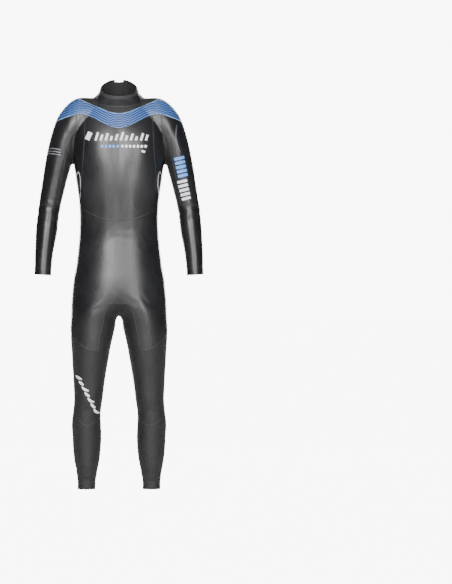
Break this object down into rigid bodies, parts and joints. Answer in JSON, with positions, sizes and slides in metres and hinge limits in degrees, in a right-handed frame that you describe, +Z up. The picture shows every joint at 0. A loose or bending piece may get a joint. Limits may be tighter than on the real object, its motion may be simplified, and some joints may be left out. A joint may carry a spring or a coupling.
{
  "type": "full wetsuit",
  "caption": "Full-length triathlon wetsuit in worn shape: standing collar with hook tab, long sleeves and legs, printed wave band over the chest, back zip that closes downwards.",
  "frame": {"origin": "middle of the neck opening, in the plane of the collar rim", "axes": "+Z up along the body, +X to the wearer's left, -Y to the wearer's front"},
  "size_m": [0.5988, 0.2491, 1.4497],
  "materials": {
    "smoothskin": "coated neoprene, smooth with a soft gloss",
    "jersey": "black stretch jersey over neoprene, matt",
    "printed_band": "blue printed stretch jersey with fine pale lines",
    "binding": "soft rolled binding",
    "zip_tape": "woven tape",
    "zip_teeth": "moulded acetal teeth",
    "slider_metal": "black coated die casting",
    "puller_plastic": "pale moulded plastic",
    "closure_tape": "hook and loop tape"
  },
  "bodies": {
    "suit": {"collar_binding": "binding", "collar": "smoothskin", "throat_yoke": "jersey", "chest_band": "printed_band", "chest_panel": "smoothskin", "front_body_panel": "smoothskin", "zip_tape_left": "zip_tape", "zip_tape_right": "zip_tape", "zip_chain_left": "zip_teeth", "zip_chain_right": "zip_teeth", "zip_bottom_stop": "zip_teeth", "zip_top_stop": "zip_teeth", "zip_end_patch": "zip_tape", "zip_backing_flap": "zip_tape", "neck_loop_pad": "closure_tape", "seat_panel_left": "smoothskin", "seat_panel_right": "smoothskin", "crotch_gusset_left": "jersey", "crotch_gusset_right": "jersey", "shoulder_yoke_left": "jersey", "shoulder_yoke_right": "jersey", "shoulder_band_left": "printed_band", "shoulder_band_right": "printed_band", "side_panel_left": "smoothskin", "side_panel_right": "smoothskin", "back_panel_left": "smoothskin", "back_panel_right": "smoothskin", "upper_sleeve_left": "smoothskin", "upper_sleeve_right": "smoothskin", "underarm_panel_left": "jersey", "underarm_panel_right": "jersey", "thigh_front_left": "jersey", "thigh_front_right": "jersey", "thigh_back_left": "jersey", "thigh_back_right": "jersey", "knee_panel_left": "jersey", "knee_panel_right": "jersey", "elbow_panel_left": "smoothskin", "elbow_panel_right": "smoothskin"},
    "forearm_left": {"forearm_front_left": "smoothskin", "forearm_back_left": "smoothskin", "wrist_cuff_left": "smoothskin"},
    "lower_leg_left": {"shin_panel_left": "jersey", "calf_panel_left": "smoothskin", "ankle_cuff_left": "jersey"},
    "forearm_right": {"forearm_front_right": "smoothskin", "forearm_back_right": "smoothskin", "wrist_cuff_right": "smoothskin"},
    "lower_leg_right": {"shin_panel_right": "jersey", "calf_panel_right": "smoothskin", "ankle_cuff_right": "jersey"},
    "slider": {"zip_slider": "slider_metal"},
    "puller": {"zip_puller": "puller_plastic"},
    "tab": {"neck_tab": "closure_tape"}
  },
  "joints": [
    {"name": "zip_slide", "type": "slide", "parent": "suit", "child": "slider", "axis": [0, -0.0529, 0.9986], "range_m": [0, 0.5]},
    {"name": "puller_swing", "type": "hinge", "parent": "slider", "child": "puller", "pos_m": [0, 0.10137, -0.56076], "axis": [1, 0, 0], "range_deg": [0, 160]},
    {"name": "neck_tab_peel", "type": "hinge", "parent": "suit", "child": "tab", "pos_m": [-0.014, 0.0697, -0.006], "axis": [0, 0, 1], "range_deg": [0, 150]},
    {"name": "elbow_left", "type": "hinge", "parent": "suit", "child": "forearm_left", "pos_m": [0.249, 0, -0.435], "axis": [-0.9936, 0, -0.1132], "range_deg": [0, 85], "stiffness_Nm_per_rad": 0.4, "deforming": ["elbow_panel_left"]},
    {"name": "knee_left", "type": "hinge", "parent": "suit", "child": "lower_leg_left", "pos_m": [0.109, 0, -1.105], "axis": [1, 0, 0], "range_deg": [0, 75], "stiffness_Nm_per_rad": 1, "deforming": ["knee_panel_left"]},
    {"name": "elbow_right", "type": "hinge", "parent": "suit", "child": "forearm_right", "pos_m": [-0.249, 0, -0.435], "axis": [-0.9936, 0, 0.1132], "range_deg": [0, 85], "stiffness_Nm_per_rad": 0.4, "deforming": ["elbow_panel_right"]},
    {"name": "knee_right", "type": "hinge", "parent": "suit", "child": "lower_leg_right", "pos_m": [-0.109, 0, -1.105], "axis": [1, 0, 0], "range_deg": [0, 75], "stiffness_Nm_per_rad": 1, "deforming": ["knee_panel_right"]}
  ]
}
